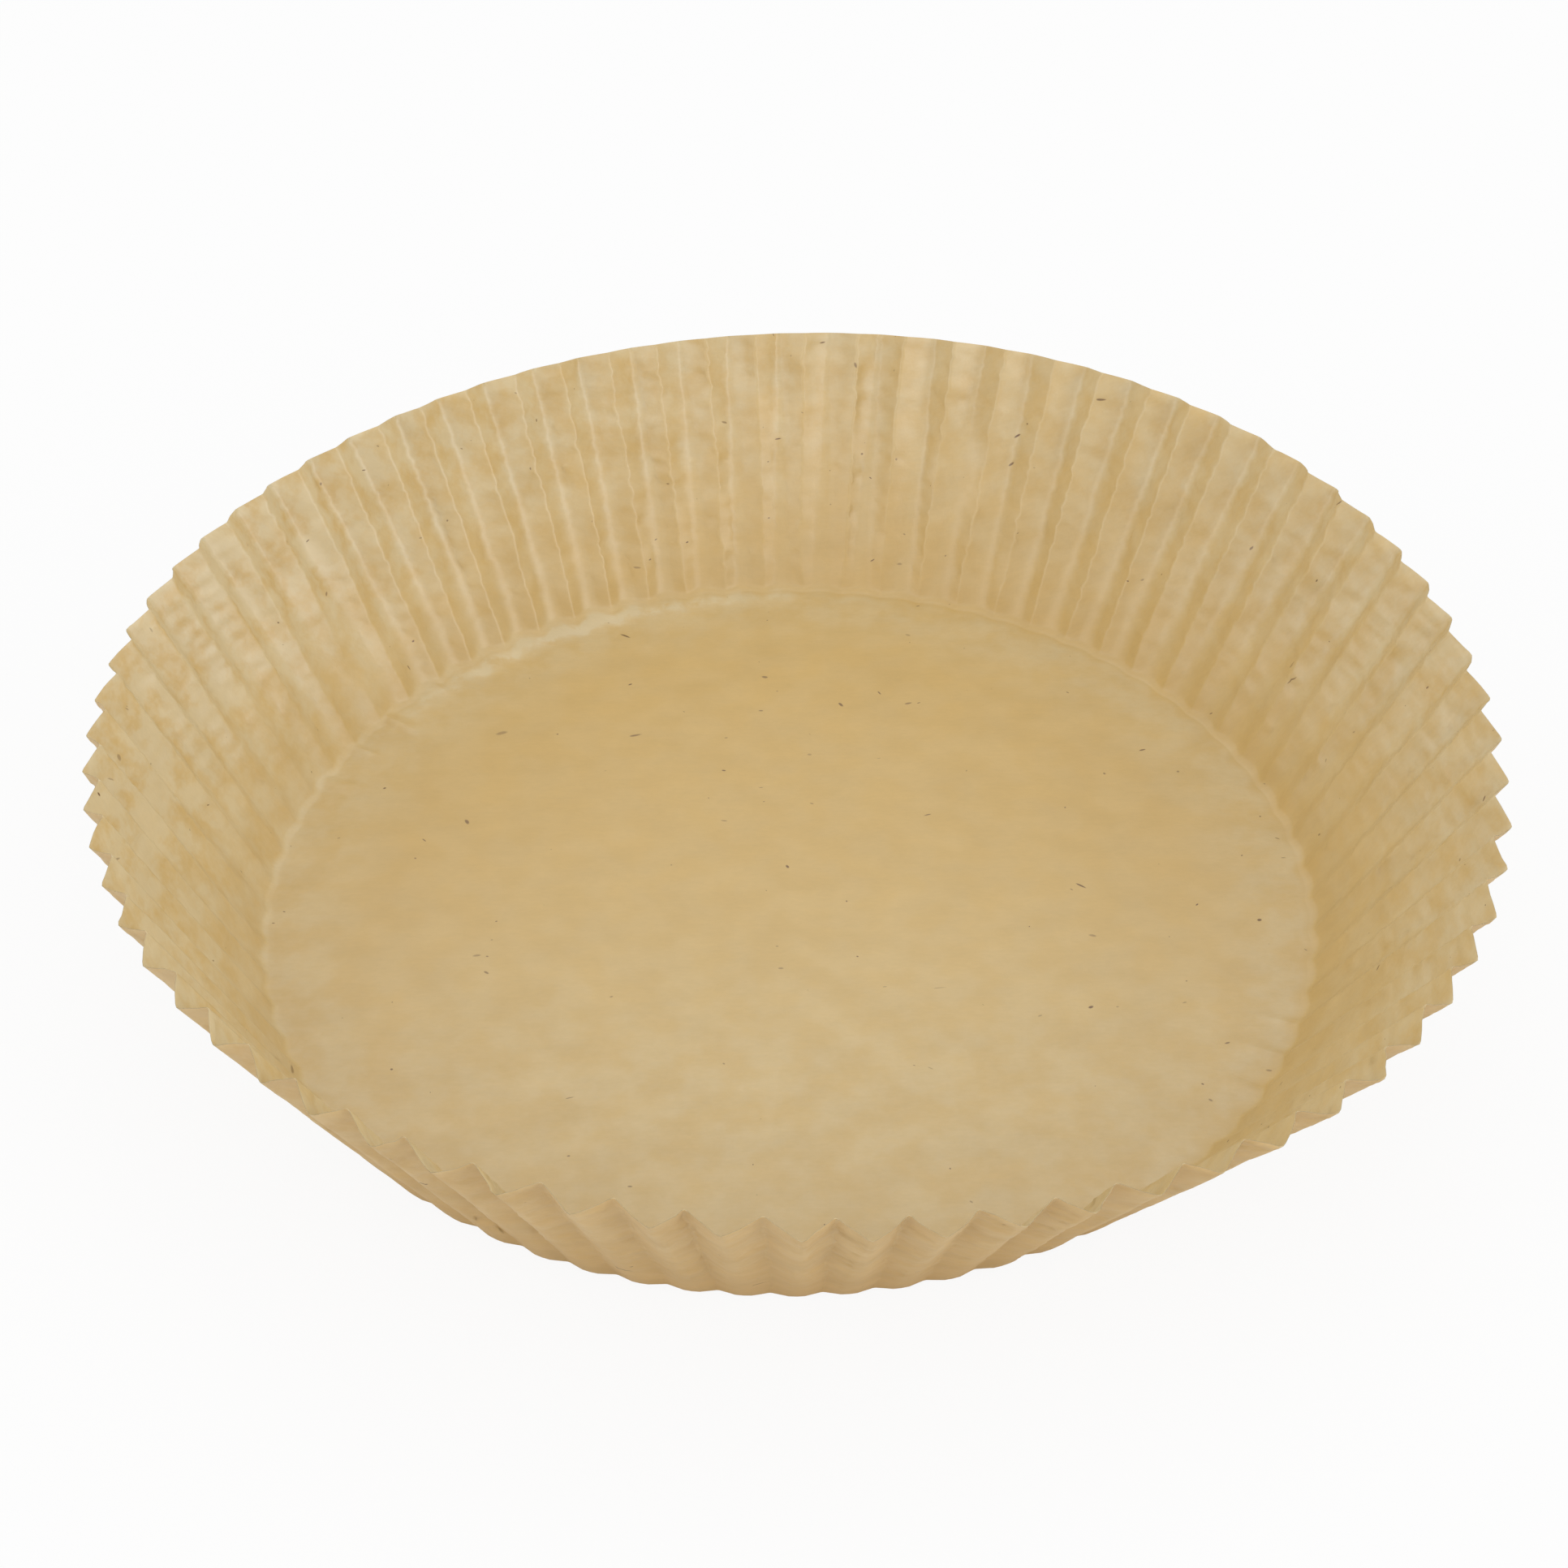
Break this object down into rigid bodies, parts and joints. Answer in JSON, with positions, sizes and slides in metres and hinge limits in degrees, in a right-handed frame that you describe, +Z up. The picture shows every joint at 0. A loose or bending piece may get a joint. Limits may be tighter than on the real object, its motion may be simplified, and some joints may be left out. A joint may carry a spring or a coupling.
{
  "type": "air fryer paper liner",
  "caption": "Shallow round cup of unbleached greaseproof paper with a flat bottom and a flared, fluted wall that is open at the top.",
  "frame": {"origin": "centre of the bottom's underside, where the liner stands on a flat surface", "axes": "+Z up, out of the open mouth, along the axis of the cup; +X to the right and -Y towards the camera of the picture"},
  "size_m": [0.2062, 0.2062, 0.0394],
  "materials": {
    "paper": "matt unbleached greaseproof paper with a faint sheen, cloudy fibres and sparse brown specks"
  },
  "bodies": {
    "root": {"liner": "paper"}
  },
  "joints": []
}
